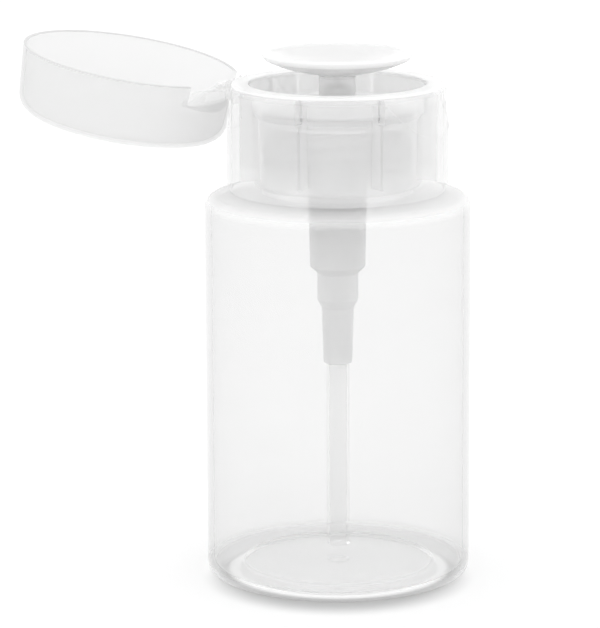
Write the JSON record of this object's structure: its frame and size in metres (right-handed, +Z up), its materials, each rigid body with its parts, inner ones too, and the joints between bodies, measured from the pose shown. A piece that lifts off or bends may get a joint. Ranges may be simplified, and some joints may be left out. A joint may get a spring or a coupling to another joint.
{
  "type": "pump bottle",
  "caption": "Clear cylindrical bottle with a screw-on push-down pump: pressing the dish fills it with liquid, and a flip lid on a hinge strap closes over it.",
  "frame": {"origin": "centre of the bottle's base, on the plane that it stands on", "axes": "+Z up along the bottle's axis, the lid hangs open over -X, +X is the side with the thumb scoop, +Y follows the right-hand rule"},
  "size_m": [0.1064, 0.06, 0.1207],
  "materials": {
    "bottle_clear": "clear, polished",
    "closure_plastic": "translucent, satin",
    "lid_plastic": "translucent, smooth",
    "pump_plastic": "translucent, satin",
    "seal_soft": "soft, matt",
    "steel": "bright drawn wire and polished balls"
  },
  "bodies": {
    "bottle": {"bottle": "bottle_clear"},
    "pump": {"pump_housing": "pump_plastic", "closure_insert": "pump_plastic", "neck_gasket": "seal_soft", "dip_tube": "pump_plastic", "return_spring": "steel"},
    "collar": {"collar": "closure_plastic"},
    "lid": {"flip_lid": "lid_plastic", "hinge_strap": "lid_plastic"},
    "plunger": {"dispensing_dish": "closure_plastic", "piston_stem": "pump_plastic", "spring_seat": "pump_plastic", "piston_seal": "seal_soft"},
    "inlet_valve": {"inlet_ball": "steel"},
    "outlet_valve": {"outlet_ball": "steel"}
  },
  "joints": [
    {"name": "closure_lift", "type": "slide", "parent": "bottle", "child": "pump", "axis": [0, 0, 1], "range_m": [0, 0.00396]},
    {"name": "collar_turn", "type": "hinge", "parent": "pump", "child": "collar", "pos_m": [0, 0, 0.1], "axis": [0, 0, 1], "range_deg": [0, 450]},
    {"name": "lid_swing", "type": "hinge", "parent": "collar", "child": "lid", "pos_m": [-0.02546, 0, 0.11157], "axis": [0, 1, 0], "range_deg": [0, 169.3]},
    {"name": "dish_press", "type": "slide", "parent": "pump", "child": "plunger", "axis": [0, 0, -1], "range_m": [0, 0.006], "stiffness_N_per_m": 600, "springref_m": -0.008, "deforming": ["return_spring"]},
    {"name": "inlet_ball_lift", "type": "slide", "parent": "pump", "child": "inlet_valve", "axis": [0, 0, 1], "range_m": [0, 0.0011]},
    {"name": "outlet_ball_lift", "type": "slide", "parent": "plunger", "child": "outlet_valve", "axis": [0, 0, 1], "range_m": [0, 0.0012]}
  ],
  "couplings": [
    {"joint": "collar_turn", "follows": "closure_lift", "rad_per_m": 1979}
  ]
}
